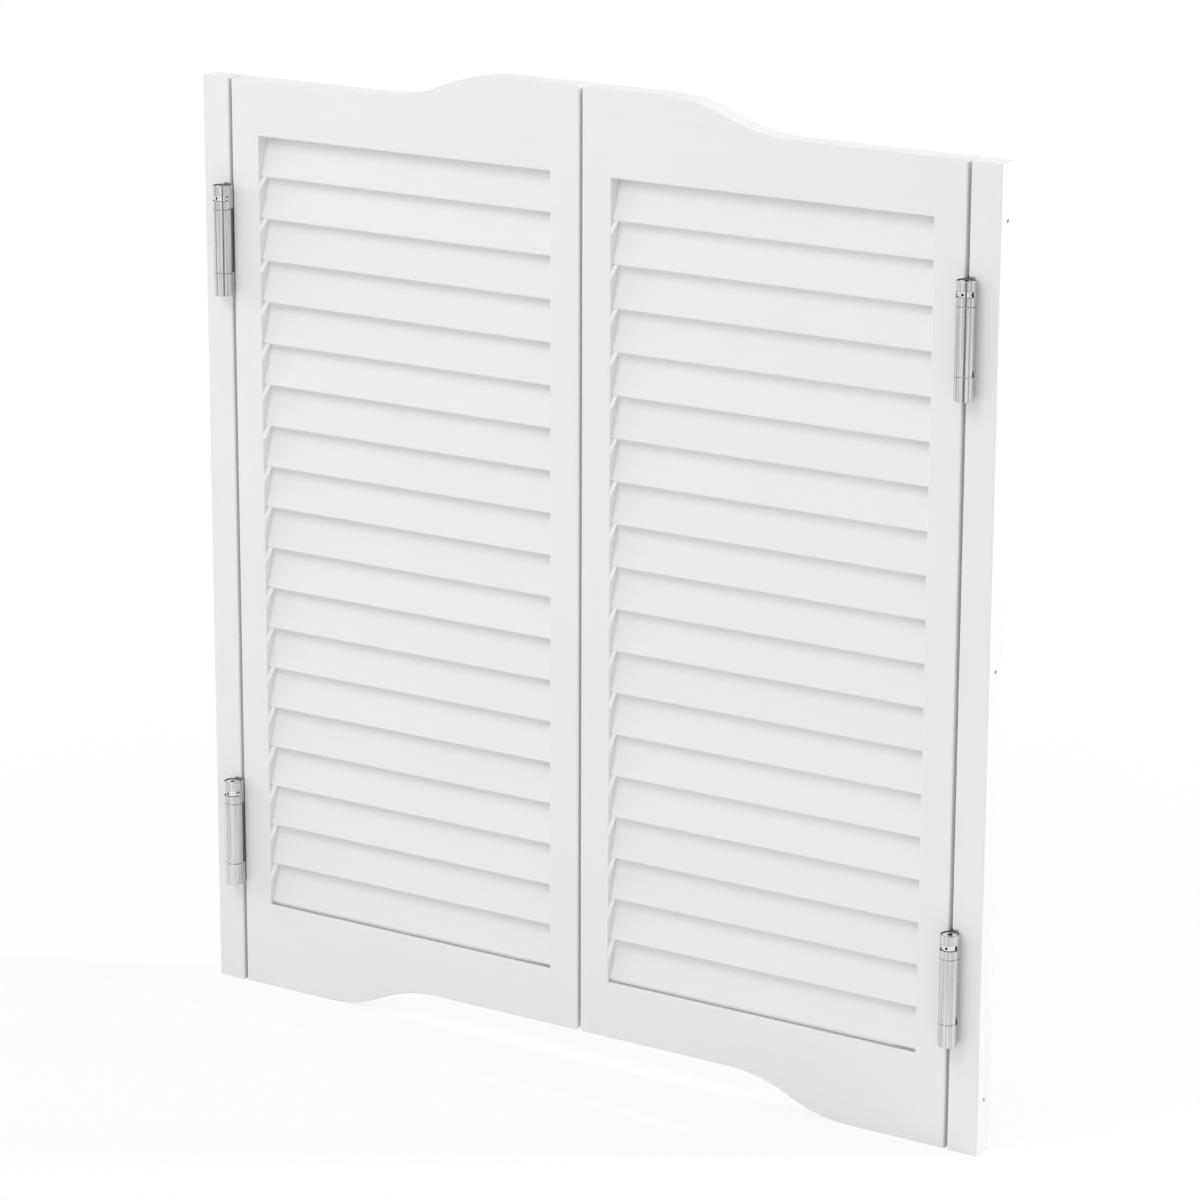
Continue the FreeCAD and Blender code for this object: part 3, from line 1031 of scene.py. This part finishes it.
@dataclass
class Leaf(SidePart):
    """One swinging leaf: two stiles, two rails with S-curved edges, and the slats between them."""

    slats: SlatCut = SlatCut()
    top_rail: RailCut = RailCut(
        name="top_rail",
        low=1005 * MM,
        high=1067 * MM,
        curve_above=True,
        straight_radius=1 * MM,
        rise=33 * MM,
        flat_run=98 * MM,
        curve_run=165 * MM,
    )
    bottom_rail: RailCut = RailCut(
        name="bottom_rail",
        low=0.0,
        high=100.7 * MM,
        curve_above=False,
        straight_radius=2 * MM,
        rise=35 * MM,
        flat_run=193 * MM,
        curve_run=155 * MM,
    )
    rail_steps: int = 130

    def build(self) -> None:
        """Make the leaf's rails and slats, and paint its stiles."""
        for rail in (self.top_rail, self.bottom_rail):
            self.build_rail(rail)
        self.build_slats()
        for stile in ("hinge_stile", "meeting_stile"):
            self.coat(stile, self.finishes.upright_paint)

    def build_rail(self, rail: RailCut) -> None:
        """Make one rail between the stiles.

        Args:
            rail: how it is cut.
        """
        start, end = self.doorway.span(self.side)
        values = labelled(rail) | {
            "Start": start,
            "End": end,
            "Thickness": self.doorway.thickness,
            "Curved Radius": self.doorway.arris,
            "Curve Above": float(rail.curve_above),
            "Seam": self.doorway.seam,
            "Curve Start": self.doorway.leaf_end - rail.flat_run - rail.curve_run,
            "Steps": self.rail_steps,
        }
        name = self.side.named(rail.name)
        piece = rail_recipe().grow(f"{name}_board", self.finishes.level_paint, values)
        seat(piece, self.side.named("leaf"), name)

    def build_slats(self) -> None:
        """Make the bank of slats, whose ends lie in the stiles' housings."""
        node = self.side.named("slats")
        low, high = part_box(node)
        start, end = self.doorway.span(self.side, self.slats.reach)
        values = labelled(self.slats) | {
            "Start": start,
            "End": end,
            "Lowest": low.z + self.slats.half_rise,
            "Pitch": (high.z - low.z - 2 * self.slats.half_rise) / (self.slats.count - 1),
            "Seed": SEED + int(self.side.sign),
        }
        name = self.side.named("slat_bank")
        piece = slat_recipe().grow(name, self.finishes.slat_paint, values)
        seat(piece, self.side.named("leaf"), node)


# --- hinges
@dataclass(frozen=True)
class SpringCut:
    """A torsion spring, by its coil, its wire and its place above the barrel's foot."""

    outer_radius: float = 8.2 * MM
    wire: float = 2.55 * MM
    foot: float = 30.2 * MM
    length: float = 64.5 * MM
    turns: float = 24.0
    tang_reach: float = 10.35 * MM


@dataclass(frozen=True)
class ScrewCut:
    """A countersunk screw, and its place in a hinge flange."""

    head_radius: float = 3.65 * MM
    shank_radius: float = 1.6 * MM
    length: float = 24 * MM
    thread: float = 2.4 * MM
    recess_reach: float = 1.9 * MM
    recess_width: float = 0.75 * MM
    recess_depth: float = 1.5 * MM
    middle: float = -2.5 * MM
    stagger: float = 4.5 * MM
    end_distance: float = 14 * MM


@dataclass
class SpringHinges(SidePart):
    """The upper and the lower double-action spring hinge of one side."""

    barrels: Barrels = Barrels()
    length: float = 125 * MM
    spring: SpringCut = SpringCut()
    screw: ScrewCut = ScrewCut()

    def build(self) -> None:
        """Make the springs and screws of both hinges, and dress their other parts."""
        leaf, door = self.side.named("leaf"), self.side.named("door")
        for face, body, owner in ((1.0, "jambs", "jamb"), (-1.0, leaf, door)):
            seat(self.make_springs(face), body, f"{owner}_springs")
            seat(self.make_screws(face), body, f"{owner}_flange_screws")
        self.dress()

    def make_springs(self, face: float) -> Object:
        """Make the springs in one line of barrels.

        Args:
            face: 1 for the front barrels, on the strip's side, and -1 for the back ones.

        Returns:
            The springs, as one piece.
        """
        outwards = self.side.sign * face
        values = labelled(self.spring) | {
            "Axis X": self.doorway.across(self.side, -face * self.barrels.offset),
            "Axis Y": -face * self.barrels.distance,
            "Lowest": self.barrels.feet[0] + self.spring.foot,
            "Between": self.barrels.between,
            "Tang Turn": 0.0 if outwards > 0 else math.pi,
        }
        name = self.side.named("front_springs" if face > 0 else "back_springs")
        return spring_recipe().grow(name, self.finishes.wire, values)

    def make_screws(self, face: float) -> Object:
        """Make the screws of two flanges.

        Args:
            face: 1 for the strip's flanges, and -1 for the leaf's.

        Returns:
            The screws, as one piece.
        """
        screw = self.screw
        outwards = self.side.sign * face
        values = labelled(screw) | {
            "Mouth X": self.doorway.across(self.side, -face * self.doorway.hinge_gap / 2),
            "Middle Y": face * screw.middle,
            "Stagger": face * screw.stagger,
            "Lowest": self.barrels.feet[0] + screw.end_distance,
            "Step": self.length / 2 - screw.end_distance,
            "Between": self.barrels.between,
            "Turn": 0.0 if outwards > 0 else math.pi,
            "Seed": SEED + int(outwards) + 4,
        }
        name = self.side.named("strip_screws" if face > 0 else "leaf_screws")
        return screw_recipe().grow(name, self.finishes.zinc, values)

    def dress(self) -> None:
        """Give the plates, barrels, collars, pins and spindles their steel."""
        self.coat("spindles", self.finishes.turned)
        for level in ("lower", "upper"):
            for part in ("jamb_flange", "door_flange", "link"):
                self.coat(f"{level}_{part}", self.finishes.nickel)
            for face in ("front", "back"):
                self.coat(f"{level}_{face}_collar", self.finishes.collar)
                self.coat(f"{level}_{face}_stop_pin", self.finishes.turned)


# --- the studio
def towards(azimuth: float, elevation: float = 0.0) -> Vector:
    """The way out from the doors at an azimuth and an elevation.

    Args:
        azimuth: degrees from straight in front to the right.
        elevation: degrees upwards.

    Returns:
        A vector one metre long.
    """
    turn, climb = math.radians(azimuth), math.radians(elevation)
    level = math.cos(climb)
    return Vector((math.sin(turn) * level, -math.cos(turn) * level, math.sin(climb)))


@dataclass(frozen=True)
class Lamp:
    """A square soft lamp that faces the middle of the doors."""

    name: str
    azimuth: float
    elevation: float
    width: float
    power: float
    distance: float = 4.6

    def hang(self, middle: Vector) -> None:
        """Hang the lamp.

        Args:
            middle: the place that it faces.
        """
        data = bpy.data.lights.new(self.name, "AREA")
        data.size = self.width
        data.energy = self.power
        way = towards(self.azimuth, self.elevation)
        turn = way.to_track_quat("Z", "Y").to_matrix().to_4x4()
        lamp = placed(self.name, data)
        lamp.matrix_world = Matrix.Translation(middle + way * self.distance) @ turn


@dataclass(frozen=True)
class Card:
    """An upright card on the floor, facing the doors, that only shows in polished metal."""

    name: str
    azimuth: float
    distance: float
    width: float
    height: float
    shade: float

    def stand(self) -> None:
        """Stand the card on the floor."""
        left, right = -self.width / 2, self.width / 2
        mesh = bpy.data.meshes.new(self.name)
        feet = [(left, 0.0, 0.0), (right, 0.0, 0.0)]
        tops = [(right, 0.0, self.height), (left, 0.0, self.height)]
        mesh.from_pydata(feet + tops, [], [(0, 1, 2, 3)])
        card = placed(self.name, mesh)
        card.location = towards(self.azimuth) * self.distance
        card.rotation_euler.z = math.radians(self.azimuth)
        for ray in ("camera", "diffuse", "shadow", "transmission", "volume_scatter"):
            setattr(card, f"visible_{ray}", False)
        bench = SurfaceBench(self.name)
        felt = bench.add("ShaderNodeEmission", None, {"Color": WHITE, "Strength": self.shade})
        bench.add("ShaderNodeOutputMaterial", None, {"Surface": felt.outputs[0]})
        mesh.materials.append(bench.material)


@dataclass
class Studio:
    """A plain white studio with soft light, and the camera."""

    lens: float = 136.53
    sensor: float = 36.0
    sight: float = 200.0
    eye: Triple = (2.6364, -4.0063, 1.8627)
    aim: Triple = (0.0267, -0.01375, 0.5399)
    roll: float = math.radians(0.19)
    ambient: float = 0.695
    floor_radius: float = 40.0
    floor_sides: int = 64
    floor_height: float = -0.4 * MM
    floor_shade: float = 0.18
    floor_fade: Pair = (0.6, 1.8)
    floor_colour: Triple = (0.9, 0.9, 0.9)
    middle: Triple = (0.0, 0.0, 0.55)
    lamps: tuple[Lamp, ...] = (
        Lamp("far_left", -75.0, 15.0, 2.2, 38.0),
        Lamp("front_high", -10.0, 45.0, 2.2, 47.0),
        Lamp("side_right", 105.0, 20.0, 2.2, 12.0),
        Lamp("back_right", 120.0, 28.6, 0.3, 76.0),
    )
    cards: tuple[Card, ...] = (
        Card("front_card", 39.0, 2.36, 0.8, 0.7, 0.0),
        Card("left_card", -56.0, 3.0, 0.7, 2.4, 0.3),
        Card("right_card", 85.0, 3.0, 0.6, 2.4, 0.3),
    )

    def build(self) -> None:
        """Set up the camera, the floor, the world, the lamps and the cards."""
        self.set_camera()
        self.lay_floor()
        self.set_world()
        for lamp in self.lamps:
            lamp.hang(Vector(self.middle))
        for card in self.cards:
            card.stand()
        bpy.context.scene.view_settings.view_transform = "Standard"

    def set_camera(self) -> None:
        """Stand the camera in front, to the right and above."""
        data = bpy.data.cameras.new("camera")
        data.lens = self.lens
        data.sensor_width = self.sensor
        data.clip_end = self.sight
        camera = placed("camera", data)
        look = Vector(self.aim) - Vector(self.eye)
        turn = look.to_track_quat("-Z", "Y").to_matrix() @ Matrix.Rotation(self.roll, 3, "Z")
        camera.matrix_world = Matrix.Translation(Vector(self.eye)) @ turn.to_4x4()
        bpy.context.scene.camera = camera

    def set_world(self) -> None:
        """Light the scene evenly, and show plain white to the camera and in the metal."""
        world = bpy.data.worlds.new("studio")
        world.use_nodes = True
        bpy.context.scene.world = world
        bench = Bench(world.node_tree)
        bench.tree.nodes.clear()
        strength = bench.is_seen() * (1.0 - self.ambient) + self.ambient
        light = bench.add("ShaderNodeBackground", None, {"Color": WHITE, "Strength": strength})
        bench.add("ShaderNodeOutputWorld", None, {"Surface": light.outputs[0]})

    def lay_floor(self) -> None:
        """Lay a floor that takes the doors' faint shadow, and is plain white further out."""
        mesh = bpy.data.meshes.new("floor")
        ring = bmesh.new()
        bmesh.ops.create_circle(
            ring, cap_ends=True, radius=self.floor_radius, segments=self.floor_sides
        )
        ring.to_mesh(mesh)
        ring.free()
        floor = placed("floor", mesh)
        floor.location.z = self.floor_height
        bench = SurfaceBench("studio_floor")
        length = {"operation": "LENGTH"}
        distance = bench.value("ShaderNodeVectorMath", "Value", length, {0: bench.place})
        shade = distance.ramp(*self.floor_fade, 1.0 - self.floor_shade, 1.0)
        lit = bench.add("ShaderNodeBsdfDiffuse", None, {"Color": rgba(self.floor_colour)})
        plain = bench.add("ShaderNodeEmission", None, {"Color": WHITE, "Strength": 1.0})
        shaders = {0: shade * bench.is_seen(), 1: lit.outputs[0], 2: plain.outputs[0]}
        mix = bench.add("ShaderNodeMixShader", None, shaders)
        bench.add("ShaderNodeOutputMaterial", None, {"Surface": mix.outputs[0]})
        mesh.materials.append(bench.material)


def main() -> None:
    """Build every piece in order."""
    logging.basicConfig(level=logging.INFO, format="%(name)s: %(message)s")
    doorway = Doorway()
    finishes = Finishes.mix()
    log.info("finishes mixed")
    for side in Side:
        MountingStrip(doorway, side, finishes).dress()
        Leaf(doorway, side, finishes).build()
        SpringHinges(doorway, side, finishes).build()
        log.info("%s built", side.named("side"))
    Studio().build()
    log.info("studio lit")


if __name__ == "__main__":
    main()
